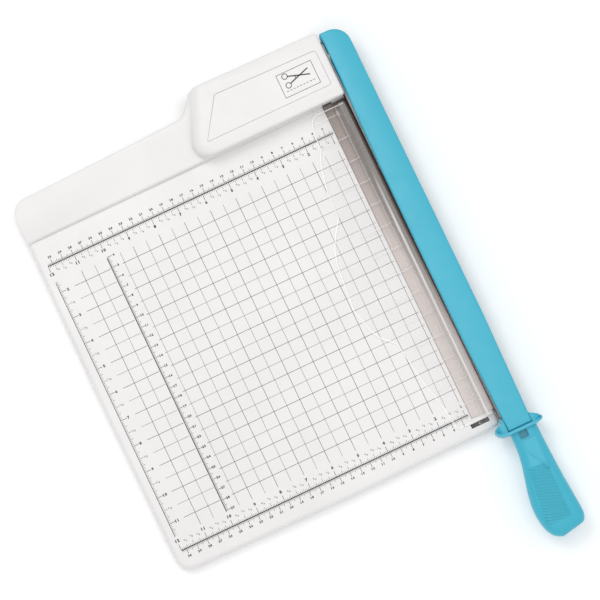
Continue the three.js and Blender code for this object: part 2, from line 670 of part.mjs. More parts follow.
// The thumb's hollow behind the hilt and the long recess that runs on from it.
function thumbRecess() {
  const hollow = roundedOutline([
    [9.2, -338.6, 1], [9.2, -345.6, 2], [17.2, -345.6, 2], [17.2, -338.6, 1],
  ]);
  const recess = roundedOutline([
    [9.2, -346.8, 2], [9.2, -360, 4], [16, -370, 6], [19.6, -387, 2], [22.2, -376, 8], [22.2, -346.8, 2],
  ]);
  return union([prismZ(hollow, THUMB_HOLLOW_FLOOR, 60), prismZ(recess, THUMB_RECESS_FLOOR, 60)]);
}

function handleHalf(isUpper) {
  const range = isUpper ? [HANDLE_SPLIT + GAP / 2, 60] : [0, HANDLE_SPLIT - GAP / 2];
  const half = handleBody().intersect(slab({ z: range }));
  const seat = HANDLE_BOTTOM + HANDLE_SCREW_HEAD_DEPTH;
  const holes = HANDLE_SCREWS.map(([x, y]) => (
    postZ(x, y, HANDLE_BOTTOM - 5, HANDLE_SCREW_TOP, HANDLE_SCREW_RADIUS + GAP, 12)
  ));
  const heads = HANDLE_SCREWS.map(([x, y]) => postZ(x, y, 0, seat + GAP, 3.2 + GAP, 14));
  const inside = roundedOutline([[2, -428, 8], [24, -428, 8], [24, -372, 4], [6, -372, 4]]);
  const [bossX, bossY] = HANDLE_SCREWS[1];
  const boss = postZ(bossX, bossY, 0, 60, 5);
  const hollow = cut(prismZ(inside, HANDLE_BOTTOM + 3.5, HOLLOW_TOP), [boss]);
  return cut(half, [hollow, ...holes, ...heads]);
}

function handleScrew([x, y]) {
  const screw = panScrew({ radius: HANDLE_SCREW_RADIUS, head: 3, height: 2, length: 11.6 });
  const seat = HANDLE_BOTTOM + HANDLE_SCREW_HEAD_DEPTH;
  return solidOf(screw.rotateX(Math.PI).translate(x, y, seat));
}

// ---------------------------------------------------------------- guard
function guardOutline() {
  return roundedOutline([
    [-36.5, -313, 3], [-3, -313, 2], [-3, -4, 2], [-35.6, -4, 7], [-39.6, -34, 0], [-45, -46, 0],
    [-50.6, -71, 8], [-51, -96, 8], [-57, -104, 6], [-64.8, -117, 12], [-71.6, -138, 12],
    [-75.3, -178, 14], [-67, -204, 6], [-63, -211, 0], [-51.8, -220.5, 0], [-50, -238, 8],
    [-46.6, -261, 0], [-39.8, -291, 0],
  ], 3);
}

function guardWallProfile() {
  const base = GUARD_BOTTOM;
  const thick = GUARD_THICKNESS;
  return outlineOf([
    [-90, base], [-12.6, base], [-10.2, base + 0.8], [-8.8, base + 2.6], [-7.6, base + 8],
    [-6.4, GUARD_TOP - 1.8], [-3, GUARD_TOP - 1.6], [-3, GUARD_TOP], [-7, GUARD_TOP],
    [-8.4, GUARD_TOP - 1], [-9.8, base + 8], [-10.6, base + 3.8], [-11.6, base + 2.4],
    [-13.2, base + thick], [-90, base + thick],
  ]);
}

function guardRibs() {
  const top = GUARD_BOTTOM + GUARD_THICKNESS;
  const gusset = outlineOf([
    [-42, top - 0.5], [-8.8, top - 0.5], [-8.2, GUARD_TOP - 3], [-10.2, GUARD_TOP - 4],
    [-14, top + 1.3], [-40, top + 1.1],
  ]);
  const ribs = [];
  for (let k = 0; k < GUARD_RIB_COUNT; k += 1) {
    const y = GUARD_FIRST_RIB - GUARD_RIB_PITCH * k;
    ribs.push(prismY(gusset, y - 0.6, y + 0.6));
  }
  return union(ribs).intersect(prismZ(guardOutline(), 0, 60));
}

function clearGuard() {
  const sheet = prismY(guardWallProfile(), -330, 10).intersect(prismZ(guardOutline(), 0, 60));
  const top = GUARD_BOTTOM + GUARD_THICKNESS;
  const backTab = slab({ x: [-21, -13], y: [-6, 12], z: [GUARD_BOTTOM, top] });
  const frontTab = slab({ x: [-24, -8.2], y: [-317.6, -311], z: [GUARD_BOTTOM, top] });
  const legs = [[-24, -21.4], [-10.8, -8.2]].map((x) => slab({
    x, y: [-317.6, -314.5], z: [12, top],
  }));
  const boss = slab({ x: [-13, -8], y: [-14.5, -9.3], z: [top - 0.5, top + 5] });
  return union([sheet, guardRibs(), backTab, frontTab, ...legs, boss]);
}

function guardSpring({ x, y, radius, wire }, floor, turns) {
  const geometry = coil({ radius, wire, bottom: floor + GAP, top: GUARD_BOTTOM - GAP, turns });
  return solidOf(geometry.translate(x, y, 0));
}

// ---------------------------------------------------------------- assembly
const group = new THREE.Group();
group.name = 'guillotine_paper_trimmer';

function place(name, solid, finish) {
  const geometry = geometryOf(solid).translate(-ORIGIN[0], -ORIGIN[1], -ORIGIN[2]);
  const mesh = new THREE.Mesh(geometry, new THREE.MeshStandardMaterial(FINISH[finish]));
  mesh.name = name;
  group.add(mesh);
}

function placeEach(name, positions, build, finish) {
  positions.forEach((position, i) => place(`${name}_${i + 1}`, build(position), finish));
}

place('base_deck', baseDeck(), 'white');
placeEach('foot', FOOT_POSITIONS, foot, 'rubber');
place('arm_rest', armRest(), 'white');
place('bed_strip', bedStrip(), 'strip');
placeEach('bed_screw', STRIP_SCREW_Y, bedScrew, 'zinc');
place('fence_cover', fenceCover(), 'white');
place('housing_panel', housingPanel(), 'white');
placeEach('cover_screw', COVER_SCREWS, coverScrew, 'zinc');
place('pivot_bracket', pivotBracket(), 'zinc');
placeEach('bracket_screw', BRACKET_SCREWS, bracketScrew, 'zinc');
place('pivot_bolt', pivotBolt(), 'zinc');
place('pivot_washer_inner', pivotRing(-21.9, -20.5, 6, 3.3), 'zinc');
place('pivot_spring', pivotSpring(), 'spring');
place('pivot_spacer', pivotRing(-5.9, 0.1, 5.5, 3.3), 'zinc');
place('pivot_washer_outer', pivotRing(12.3, 13.5, 6, 3.3), 'zinc');
place('pivot_nut', pivotRing(13.8, 18.8, 5.6, 3.3, 6), 'zinc');
place('guard_spring_back', guardSpring(GUARD_SPRING_BACK, SPRING_POCKET_FLOOR, 5), 'spring');
place('guard_spring_front', guardSpring(GUARD_SPRING_FRONT, GUARD_SLOT.floor, 7), 'spring');
place('arm_beam', armBeam(), 'teal');
place('pivot_bush', pivotRing(0.45, 12, 5.6, BOLT_RADIUS + RUNNING_CLEARANCE), 'bush');
place('blade', blade(), 'blade');
placeEach('blade_screw', BLADE_SCREW_Y, bladeScrew, 'zinc');
place('handle_upper', handleHalf(true).subtract(thumbRecess()), 'teal');
place('handle_lower', handleHalf(false), 'teal');
placeEach('handle_screw', HANDLE_SCREWS, handleScrew, 'zinc');
place('clear_guard', clearGuard(), 'clear');

export default group;
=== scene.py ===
import json
import math

import bpy
from mathutils import Matrix, Vector


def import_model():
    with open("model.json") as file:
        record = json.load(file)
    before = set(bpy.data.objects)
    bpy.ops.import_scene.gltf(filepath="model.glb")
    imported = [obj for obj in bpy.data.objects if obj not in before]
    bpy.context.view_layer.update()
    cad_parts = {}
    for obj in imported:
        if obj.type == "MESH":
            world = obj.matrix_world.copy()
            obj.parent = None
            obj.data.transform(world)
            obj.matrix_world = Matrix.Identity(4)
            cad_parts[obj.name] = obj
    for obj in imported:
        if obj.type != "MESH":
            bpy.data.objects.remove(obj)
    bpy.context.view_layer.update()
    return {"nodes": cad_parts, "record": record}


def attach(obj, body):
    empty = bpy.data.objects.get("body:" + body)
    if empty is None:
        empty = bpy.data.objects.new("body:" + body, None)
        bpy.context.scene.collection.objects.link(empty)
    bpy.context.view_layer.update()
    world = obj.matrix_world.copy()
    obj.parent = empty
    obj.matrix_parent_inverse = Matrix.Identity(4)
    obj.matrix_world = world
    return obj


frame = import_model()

# Lengths in this file are millimetres measured from the cutting corner (x = 0 is the cutting line,
# y = 0 is the fence, z = 0 is the table). row() turns them into metres in the row frame.
MM = 0.001
FOOTPRINT_CENTRE = (-139.4, -187.62)
INCH = 25.4
DECK_TOP = 19.0
HOUSING_TOP = 45.0
PRINT_HEIGHT = DECK_TOP + 0.06
GUARD_SHEET_TOP = 22.6
GUARD_WALL_LEFT = -10.9

WHITE = (0.87, 0.855, 0.85)
TEAL = (0.05, 0.475, 0.635)
# colour of the painted shade inside the slot, the hollow cover and the notch
PAINTED_SHADE_TONE = (0.06, 0.055, 0.05)

# boxes in millimetres whose surfaces get painted shade, coloured dark as the shadowed inside of
# something
SLOT_PAINTED_SHADE = {"X": (-26, -6), "Y": (-319, -313), "Z": (0, 17.6)}
COVER_PAINTED_SHADE = {"X": (-100, -2.2), "Y": (2.2, 58), "Z": (19.1, 42.4)}
NOTCH_PAINTED_SHADE = {"X": (-22.2, -12.4), "Y": (0.25, 3.0), "Z": (18.0, 33.2)}
THUMB_HOLLOW_PAINTED_SHADE = {"X": (8.4, 18.0), "Y": (-346.4, -338.3), "Z": (30, 35.4)}

# finger ribs on the grip: where they are, how far apart, and how they slant
RIB_ZONE = {"X": (-3.5, 20.5), "Y": (-425, -372), "Z": (34, 50)}
RIB_PITCH = 2.9
RIB_SLANT = 0.32
RIB_ZONE_LEAN = -0.13
RIB_ZONE_EDGE = (0.1658, 0.1676)  # metres, where the leaning left side of the ribs fades in


def row(x, y, z):
    return Vector(((x - FOOTPRINT_CENTRE[0]) * MM, (y - FOOTPRINT_CENTRE[1]) * MM, z * MM))


# ---------------------------------------------------------------- materials
class Nodes:
    """A material's node tree with a Principled shader, built step by step."""

    def __init__(self, name):
        self.material = bpy.data.materials.new(name)
        self.material.use_nodes = True
        self.tree = self.material.node_tree
        self.shader = self.tree.nodes["Principled BSDF"]
        self.place = self.tree.nodes.new("ShaderNodeTexCoord").outputs["Object"]

    def set(self, **values):
        for name, value in values.items():
            self.shader.inputs[name.replace("_", " ")].default_value = value

    def link(self, output, name):
        self.tree.links.new(output, self.shader.inputs[name])

    def stretched(self, scale):
        mapping = self.tree.nodes.new("ShaderNodeMapping")
        mapping.inputs["Scale"].default_value = scale
        self.tree.links.new(self.place, mapping.inputs["Vector"])
        return mapping.outputs["Vector"]

    def noise(self, scale, detail=2.0, stretch=None, roughness=0.5):
        noise = self.tree.nodes.new("ShaderNodeTexNoise")
        noise.inputs["Scale"].default_value = scale
        noise.inputs["Detail"].default_value = detail
        noise.inputs["Roughness"].default_value = roughness
        vector = self.stretched(stretch) if stretch else self.place
        self.tree.links.new(vector, noise.inputs["Vector"])
        return noise.outputs["Fac"]

    def spread(self, fac, low, high, start=0.3, end=0.7):
        spread = self.tree.nodes.new("ShaderNodeMapRange")
        for name, value in zip(("From Min", "From Max", "To Min", "To Max"), (start, end, low, high)):
            spread.inputs[name].default_value = value
        self.tree.links.new(fac, spread.inputs["Value"])
        return spread.outputs["Result"]

    def ramp(self, fac, stops):
        ramp = self.tree.nodes.new("ShaderNodeValToRGB")
        elements = ramp.color_ramp.elements
        while len(elements) < len(stops):
            elements.new(0.5)
        for element, (position, color) in zip(elements, stops):
            element.position = position
            element.color = (*color, 1)
        self.tree.links.new(fac, ramp.inputs["Fac"])
        return ramp.outputs["Color"]

    def math(self, operation, a, b):
        node = self.tree.nodes.new("ShaderNodeMath")
        node.operation = operation
        for socket, value in zip(node.inputs, (a, b)):
            if isinstance(value, (int, float)):
                socket.default_value = value
            else:
                self.tree.links.new(value, socket)
        return node.outputs["Value"]

    def axis(self, letter):
        split = self.tree.nodes.new("ShaderNodeSeparateXYZ")
        self.tree.links.new(self.place, split.inputs["Vector"])
        return split.outputs[letter]

    def within(self, letter, low, high, soft=0.4):
        """1 between two millimetre positions along an axis, 0 outside, soft at both ends."""
        shift = {"X": FOOTPRINT_CENTRE[0], "Y": FOOTPRINT_CENTRE[1], "Z": 0.0}[letter]
        place = self.axis(letter)
        rise, fall = (
            self.spread(place, 0.0, 1.0, (edge - shift - soft) * MM, (edge - shift + soft) * MM)
            for edge in (low, high)
        )
        return self.math("SUBTRACT", rise, fall)

    def inside(self, soft=0.4, **ranges):
        """1 inside a box given by X, Y and Z ranges in millimetres, 0 outside."""
        result = None
        for letter, (low, high) in ranges.items():
            part = self.within(letter, low, high, soft)
            result = part if result is None else self.math("MULTIPLY", result, part)
        return result

    def blend(self, fac, a, b):
        """Colour a where fac is 0 and colour b where it is 1; either may be a socket."""
        mix = self.tree.nodes.new("ShaderNodeMix")
        mix.data_type = "RGBA"
        self.tree.links.new(fac, mix.inputs["Factor"])
        for name, value in (("A", a), ("B", b)):
            socket = next(s for s in mix.inputs if s.name == name and s.type == "RGBA")
            if isinstance(value, tuple):
                socket.default_value = (*value, 1)
            else:
                self.tree.links.new(value, socket)
        return next(s for s in mix.outputs if s.type == "RGBA")

    def bump(self, height, strength, distance):
        bump = self.tree.nodes.new("ShaderNodeBump")
        bump.inputs["Strength"].default_value = strength
        bump.inputs["Distance"].default_value = distance
        self.tree.links.new(height, bump.inputs["Height"])
        self.link(bump.outputs["Normal"], "Normal")


def tinted(color, factor):
    return tuple(min(1.0, channel * factor) for channel in color)


def flow_tone(m, color):
    """The faint flow mottling of moulded plastic."""
    return m.ramp(m.noise(14.0, 4.0), [(0.3, tinted(color, 0.975)), (0.7, tinted(color, 1.02))])


def uneven_gloss(m, roughness):
    m.link(m.spread(m.noise(90.0, 3.0), roughness - 0.05, roughness + 0.06), "Roughness")


def spark_grain(m):
    m.bump(m.noise(1400.0, 2.0), 0.35, 0.00003)


def moulded_plastic(name, color, roughness):
    """Injection-moulded plastic: faint flow mottling, a fine spark-eroded grain, uneven gloss."""
    m = Nodes(name)
    m.link(flow_tone(m, color), "Base Color")
    uneven_gloss(m, roughness)
    spark_grain(m)
    return m.material


def metal(name, color, roughness, stretch=(1, 1, 1), scale=700.0, depth=0.00002, wear=0.12):
    """Worked metal: lines along the stretched axis, uneven tone and uneven polish."""
    m = Nodes(name)
    m.set(Metallic=1.0)
    lines = m.noise(scale, 3.0, stretch=stretch)
    tones = [(0.25, tinted(color, 1 - wear)), (0.75, tinted(color, 1 + wear))]
    m.link(m.ramp(lines, tones), "Base Color")
    m.link(m.spread(m.noise(60.0, 4.0), roughness - 0.07, roughness + 0.1), "Roughness")
    m.bump(lines, 0.25, depth)
    return m.material


def white_shell():
    """The white mouldings, with painted shade darkening the inside of the guard's slot, the inside of
    the hollow cover and the notch in its front wall.
    """
    m = Nodes("white_plastic")
    # painted shade: the white turns dark inside the slot, the hollow cover and the notch
    slot = m.inside(**SLOT_PAINTED_SHADE)
    hollow = m.inside(**COVER_PAINTED_SHADE, soft=0.3)
    notch = m.inside(**NOTCH_PAINTED_SHADE, soft=0.15)
    shade = m.math("MAXIMUM", slot, m.math("MAXIMUM", hollow, notch))
    m.link(m.blend(shade, flow_tone(m, WHITE), PAINTED_SHADE_TONE), "Base Color")
    uneven_gloss(m, 0.42)
    spark_grain(m)
    return m.material


def finger_ribs(m):
    """A wave from -1 to 1 over the grip's slanted ribs, and 0 around them."""
    slanted = m.math("ADD", m.axis("Y"), m.math("MULTIPLY", m.axis("X"), RIB_SLANT))
    wave = m.math("SINE", m.math("MULTIPLY", slanted, 2 * math.pi / (RIB_PITCH * MM)), 0.0)
    leaning = m.math("ADD", m.axis("X"), m.math("MULTIPLY", m.axis("Y"), RIB_ZONE_LEAN))
    edge = m.spread(leaning, 0.0, 1.0, *RIB_ZONE_EDGE)
    zone = m.math("MULTIPLY", m.inside(**RIB_ZONE, soft=1.2), edge)
    return m.math("MULTIPLY", zone, wave)


def grip_plastic():
    """The teal grip: the moulded plastic of the arm, with raised finger ribs, painted shade in the
    grooves between them and painted shade in the thumb hollow.
    """
    m = Nodes("teal_grip")
    ribs = finger_ribs(m)
    # painted shade: the thumb hollow is darkened in colour
    hollow = m.inside(**THUMB_HOLLOW_PAINTED_SHADE, soft=1.2)
    # painted shade: where the rib wave runs below zero, in the grooves, the teal is darkened
    tone = m.blend(m.spread(ribs, 0.0, 0.4, -0.2, -1.0), flow_tone(m, TEAL), tinted(TEAL, 0.78))
    m.link(m.blend(hollow, tone, tinted(TEAL, 0.55)), "Base Color")
    uneven_gloss(m, 0.4)
    m.bump(m.math("MULTIPLY", ribs, 0.5), 0.8, 0.0009)
    return m.material


def bed_steel():
    """The bed strip: ground lengthwise, with painted reflection darkening it towards the housing and
    fading towards the user's end, and painted shade from the arm along its right edge.
    """
    m = Nodes("bed_steel")
    m.set(Metallic=0.3)
    lines = m.noise(900.0, 3.0, stretch=(1, 0.012, 1))
    # painted reflection: darker from the user's end towards the housing
    along = m.spread(m.axis("Y"), 0.0, 1.0, start=-0.12, end=0.19)
    # painted shade from the arm: darker along the right edge, more so towards the housing
    edge = m.spread(m.axis("X"), 0.0, 0.6, start=0.1245, end=0.1345)
    tone = m.math("ADD", m.math("MULTIPLY", lines, 0.16), m.math("MULTIPLY", along, 0.6))
    tone = m.math("ADD", tone, m.math("MULTIPLY", edge, m.spread(along, 0.2, 0.6, 0.0, 0.8)))
    stops = [
        (0.08, (0.63, 0.57, 0.545)),
        (0.4, (0.6, 0.53, 0.505)),
        (0.6, (0.3, 0.245, 0.22)),
        (0.72, (0.17, 0.13, 0.11)),
        (1.0, (0.07, 0.05, 0.04)),
    ]
    m.link(m.ramp(tone, stops), "Base Color")
    m.link(m.spread(m.noise(30.0, 3.0, stretch=(1, 0.2, 1)), 0.4, 0.54), "Roughness")
    m.bump(lines, 0.2, 0.00002)
    return m.material


def clear_plastic():
    """Clear styrene: nearly invisible in the flat sheet, with painted highlight making the ribs and
    wall whiter and less see-through, and a painted highlight streak along the wall; the folded edge's
    painted highlight is a separate strip.
    """
    m = Nodes("clear_plastic")
    m.set(IOR=1.3)
    m.material.surface_render_method = "BLENDED"
    haze = m.noise(40.0, 4.0)
    m.link(m.ramp(haze, [(0.3, (0.93, 0.9, 0.88)), (0.7, (0.97, 0.95, 0.94))]), "Base Color")
    m.link(m.spread(haze, 0.1, 0.2), "Roughness")
    # painted highlight: ribs and wall get more alpha, so the near-white colour shows there
    ribs = m.inside(X=(-90, GUARD_WALL_LEFT), Z=(GUARD_SHEET_TOP + 0.35, 60.0), soft=0.2)
    wall = m.inside(X=(GUARD_WALL_LEFT, 0.0), Z=(21.5, 60.0), soft=0.5)
    glints = m.spread(m.noise(12.0, 3.0, stretch=(1, 0.5, 1)), 0.0, 0.5, 0.42, 0.6)
    # painted highlight: a glinting streak down the wall's bend
    wall_highlight = m.math("MULTIPLY", m.inside(X=(-8.3, -6.6), Z=(24, 60), soft=0.5), glints)
    alpha = m.math("ADD", m.math("MULTIPLY", ribs, 0.26), m.math("MULTIPLY", wall, 0.06))
    m.link(m.math("ADD", m.math("ADD", alpha, wall_highlight), 0.055), "Alpha")
    m.bump(m.noise(25.0, 2.0, stretch=(1, 0.3, 1)), 0.05, 0.0003)
    return m.material


def milky_edge():
    """Painted highlight on the sheet's moulded edge, where clear plastic gathers light: near-white,
    half see-through and faintly glowing.
    """
    m = Nodes("guard_edge")
    tones = [(0.3, (0.95, 0.94, 0.93)), (0.7, (1.0, 0.99, 0.98))]
    m.link(m.ramp(m.noise(60.0, 3.0), tones), "Base Color")
    m.link(m.spread(m.noise(120.0, 2.0), 0.15, 0.3), "Roughness")
    m.link(m.spread(m.noise(30.0, 2.0), 0.6, 0.8), "Alpha")
    # painted light: the edge strip glows faintly
    m.set(Emission_Color=(1, 1, 1, 1), Emission_Strength=0.12)
    return m.material


def ink(name, shade):
    """Screen-printed ink with slightly broken coverage."""
    m = Nodes(name)
    color = (shade, shade * 0.98, shade * 0.98)
    m.link(m.ramp(m.noise(900.0, 3.0), [(0.35, color), (0.75, tinted(color, 1.5))]), "Base Color")
    m.link(m.spread(m.noise(300.0, 2.0), 0.45, 0.6), "Roughness")
    return m.material


def rubber():
    m = Nodes("rubber_black")
    tones = [(0.3, (0.022, 0.022, 0.024)), (0.7, (0.04, 0.04, 0.042))]
    m.link(m.ramp(m.noise(160.0, 4.0), tones), "Base Color")
    m.link(m.spread(m.noise(250.0, 3.0), 0.75, 0.95), "Roughness")
    m.bump(m.noise(2200.0, 2.0), 0.5, 0.00005)
    return m.material


LOOK = {
    "white_plastic": white_shell(),
    "teal_plastic": moulded_plastic("teal_plastic", TEAL, 0.4),
    "clear_plastic": clear_plastic(),
    "bed_steel": bed_steel(),
    "blade_steel": metal("blade_steel", (0.16, 0.16, 0.165), 0.34, stretch=(1, 1, 0.02)),
    "zinc_steel": metal("zinc_steel", (0.55, 0.56, 0.58), 0.36, scale=260.0, wear=0.08),
    "spring_steel": metal("spring_steel", (0.4, 0.41, 0.44), 0.28, scale=500.0),
    "bush_brass": metal("bush_brass", (0.6, 0.43, 0.17), 0.36, scale=400.0),
    "rubber_black": rubber(),
}
INK_DARK = ink("ink_dark", 0.02)
INK_MID = ink("ink_mid", 0.06)
INK_LIGHT = ink("ink_light", 0.16)
GRIP = grip_plastic()
EDGE_HIGHLIGHT = milky_edge()

slot_of = {part["node"]: part["material_slot"] for part in frame["record"]["subparts"]}


def dress_cad_nodes():
    """Each CAD node gets its slot's look, welded and shaded smooth except at its real edges."""
    for name, node in frame["nodes"].items():
        node.data.materials.clear()
        node.data.materials.append(GRIP if name == "handle_upper" else LOOK[slot_of[name]])
        for polygon in node.data.polygons:
            polygon.use_smooth = True
        weld = node.modifiers.new("weld", "WELD")
        weld.merge_threshold = 0.000002
        crease = node.modifiers.new("crease", "EDGE_SPLIT")
        crease.split_angle = math.radians(32)


dress_cad_nodes()


# ---------------------------------------------------------------- flat prints
GLYPH_ADVANCE = 0.82
GLYPH_BOLDNESS = 0.055


def glyph_table():
    """Vertices and faces of each printed character at height 1, centred on x = 0."""
    table = {}
    for character in "0123456789":
        curve = bpy.data.curves.new("glyph", "FONT")
        curve.body = character
        curve.resolution_u = 2
        curve.offset = GLYPH_BOLDNESS
        text = bpy.data.objects.new("glyph", curve)
        bpy.context.scene.collection.objects.link(text)
        bpy.context.view_layer.update()
        evaluated = text.evaluated_get(bpy.context.evaluated_depsgraph_get())
        mesh = bpy.data.meshes.new_from_object(evaluated)
        xs = [v.co.x for v in mesh.vertices]
        ys = [v.co.y for v in mesh.vertices]
        height = max(ys) - min(ys)
        centre = (max(xs) + min(xs)) / 2
        bottom = min(ys)
        points = [
            ((v.co.x - centre) / height, (v.co.y - bottom) / height - 0.5) for v in mesh.vertices
        ]
        table[character] = (points, [tuple(p.vertices) for p in mesh.polygons])
        bpy.data.objects.remove(text)
        bpy.data.meshes.remove(mesh)
    return table


GLYPHS = glyph_table()


class Print:
    """Thin ink shapes gathered into one mesh lying on a flat face."""

    def __init__(self, height=PRINT_HEIGHT):
        self.height = height
        self.points = []
        self.faces = []

    def polygon(self, corners):
        first = len(self.points)
        self.points += [row(x, y, self.height) for x, y in corners]
        self.faces.append(tuple(range(first, first + len(corners))))

    def bar(self, x0, y0, x1, y1, width):
        along = Vector((x1 - x0, y1 - y0)).normalized() * width / 2
        sx, sy = -along.y, along.x
        self.polygon([(x0 - sx, y0 - sy), (x1 - sx, y1 - sy), (x1 + sx, y1 + sy), (x0 + sx, y0 + sy)])

    def label(self, text, x, y, size, angle=0.0, bold=0.0):
        turn = Matrix.Rotation(math.radians(angle), 2)
        start = -(len(text) - 1) * GLYPH_ADVANCE / 2
        for i, character in enumerate(text):
            if character == "/":
                a = turn @ Vector(((start + i * GLYPH_ADVANCE - 0.3) * size, -0.6 * size))
                b = turn @ Vector(((start + i * GLYPH_ADVANCE + 0.3) * size, 0.6 * size))
                self.bar(x + a.x, y + a.y, x + b.x, y + b.y, 0.16 * size)
                continue
            points, faces = GLYPHS[character]
            first = len(self.points)
            for px, py in points:
                spot = turn @ Vector(((px * (1 + bold) + start + i * GLYPH_ADVANCE) * size, py * size))
                self.points.append(row(x + spot.x, y + spot.y, self.height))
            self.faces += [tuple(first + index for index in face) for face in faces]

    def finish(self, name, material, slot, body="base"):
        mesh = bpy.data.meshes.new(name)
        mesh.from_pydata(self.points, [], self.faces)
        mesh.materials.append(material)
        piece = bpy.data.objects.new(name, mesh)
        bpy.context.scene.collection.objects.link(piece)
        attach(piece, body)
        return piece


RULER_LEFT = -12 * INCH
RULER_RIGHT = -23.0
TOP_RULER_Y = -24.9
BOTTOM_RULER_Y = -305.2
COLUMN_RULER_X = -10 * INCH
GRID_TOP = -41.0
GRID_BOTTOM = -291.0
GRID_LEFT = -290.5
GRID_COLUMN_RIGHT = -243.5
INCH_COLUMN_X = -297.2
METRIC_COLUMN_X = -247.4
METRIC_LABEL = 2.2
INCH_LABEL = 2.9
SIDE_INCH_LABEL = 2.7
FRACTION_LABEL = 1.35
BOLD = 0.1

RULER_WIDTH = 0.9
COLUMN_RULER_WIDTH = 0.75
LEFT_RULER_WIDTH = 0.5
LONG_TICK_WIDTH = 0.42
TICK_WIDTH = 0.3
INCH_LINE_WIDTH = 0.42
HALF_INCH_LINE_WIDTH = 0.34


def tick(ink, along, across, start, length, width):
    """One ruler tick: along is "x" for a ruler that runs along X."""
    if along == "x":
        ink.bar(across, start, across, start + length, width)
    else:
        ink.bar(start, across, start + length, across, width)


def metric_ticks(ink, along, base, side, first, last):
    for step in range(first, last + 1):
        length = 5.2 if step % 10 == 0 else 3.4 if step % 5 == 0 else 2.0
        width = TICK_WIDTH if step % 10 else LONG_TICK_WIDTH
        tick(ink, along, -float(step), base, side * length, width)


def inch_ticks(ink, along, base, side, first, last):
    """first and last count sixteenths of an inch."""
    for step in range(first, last + 1):
        length = 6.0 if step % 16 == 0 else 4.6 if step % 8 == 0 else 3.4 if step % 4 == 0 else 2.0
        width = TICK_WIDTH if step % 16 else LONG_TICK_WIDTH
        tick(ink, along, -step * INCH / 16, base, side * length, width)


def horizontal_ruler(lines, labels, fractions, y, metric_side, metric_reach, inch_reach):
    """Metric ticks on one side of the line and inch ticks on the other, each with its numbers."""
    lines.bar(RULER_LEFT, y, RULER_RIGHT, y, RULER_WIDTH)
    metric_ticks(lines, "x", y, metric_side, 23, 304)
    inch_ticks(lines, "x", y, -metric_side, 15, 192)
    metric_y = y + metric_reach * metric_side
    for centimetre in range(3, 31):
        labels.label(str(centimetre), -10.0 * centimetre, metric_y, METRIC_LABEL, bold=BOLD)
    for inch in range(1, 13):
        inch_y = y - inch_reach * metric_side
        labels.label(str(inch), -INCH * inch, inch_y, INCH_LABEL, bold=BOLD)
        if inch == 12:
            continue
        for quarter, text in ((1, "1/4"), (2, "1/2"), (3, "3/4")):
            offset = inch_reach - (2.4 if quarter != 2 else 1.0)
            x = -INCH * (inch + quarter / 4)
            fractions.label(text, x + 0.6, y - offset * metric_side, FRACTION_LABEL, angle=-40)


def side_rulers(lines, labels, fractions):
    """The inch ruler along the deck's left edge and the metric one on the grid's tenth inch line."""
    lines.bar(RULER_LEFT, GRID_TOP, RULER_LEFT, GRID_BOTTOM - 1, LEFT_RULER_WIDTH)
    inch_ticks(lines, "y", RULER_LEFT, 1, 26, 183)
    lines.bar(COLUMN_RULER_X, GRID_TOP, COLUMN_RULER_X, GRID_BOTTOM, COLUMN_RULER_WIDTH)
    metric_ticks(lines, "y", COLUMN_RULER_X, 1, 40, 290)
    for inch in range(2, 12):
        labels.label(str(inch), INCH_COLUMN_X, -INCH * inch, SIDE_INCH_LABEL, bold=BOLD)
        if inch < 11:
            fractions.label("1/2", INCH_COLUMN_X - 0.8, -INCH * (inch + 0.5), 1.5, angle=-20)
    for centimetre in range(4, 30):
        labels.label(str(centimetre), METRIC_COLUMN_X, -10.0 * centimetre, METRIC_LABEL, bold=BOLD)


def grid(whole, half):
    """Vertical lines from 1 to 11 in and horizontal ones from 2 to 11 in, every half inch."""
    styles = ((whole, INCH_LINE_WIDTH), (half, HALF_INCH_LINE_WIDTH))
    for step in range(2, 23):
        x = -INCH * step / 2
        ink, width = styles[step % 2]
        if x != COLUMN_RULER_X:
            ink.bar(x, GRID_TOP, x, GRID_BOTTOM, width)
    for step in range(4, 23):
        y = -INCH * step / 2
        ink, width = styles[step % 2]
        ink.bar(GRID_LEFT, y, COLUMN_RULER_X - 1, y, width)
        ink.bar(GRID_COLUMN_RIGHT, y, RULER_RIGHT, y, width)


def deck_prints():
    lines, labels, fractions, whole, half = (Print() for _ in range(5))
    horizontal_ruler(lines, labels, fractions, TOP_RULER_Y, 1, 7.4, 8.0)
    horizontal_ruler(lines, labels, fractions, BOTTOM_RULER_Y, -1, 7.0, 9.4)
    side_rulers(lines, labels, fractions)
    grid(whole, half)
    lines.finish("ruler_lines", INK_DARK, "white_plastic")
    labels.finish("ruler_numbers", INK_DARK, "white_plastic")
    fractions.finish("ruler_fractions", INK_MID, "white_plastic")
    whole.finish("grid_inch_lines", INK_MID, "white_plastic")
    half.finish("grid_half_inch_lines", INK_LIGHT, "white_plastic")


deck_prints()


SIGN_FRAME = (-49.1, 18.1, -15.1, 40.0)
SIGN_LINE_WIDTH = 0.45
DASH_Y = 23.0
DASH_PITCH = 3.2
DASH_LENGTH = 1.9
DASH_COUNT = 9
SCISSORS_HANDLES = (27.6, 36.4)
SCISSORS_HANDLE_X = -42.2
SCISSORS_BLADES_X = (-40.0, -20.4)
SCISSORS_RIVET = (-33.6, 32.0)


def ring(ink, x, y, radius, width, sides=20):
    points = [
        (x + radius * math.cos(2 * math.pi * k / sides), y + radius * math.sin(2 * math.pi * k / sides))
        for k in range(sides + 1)
    ]
    for (ax, ay), (bx, by) in zip(points, points[1:]):
        ink.bar(ax, ay, bx, by, width)


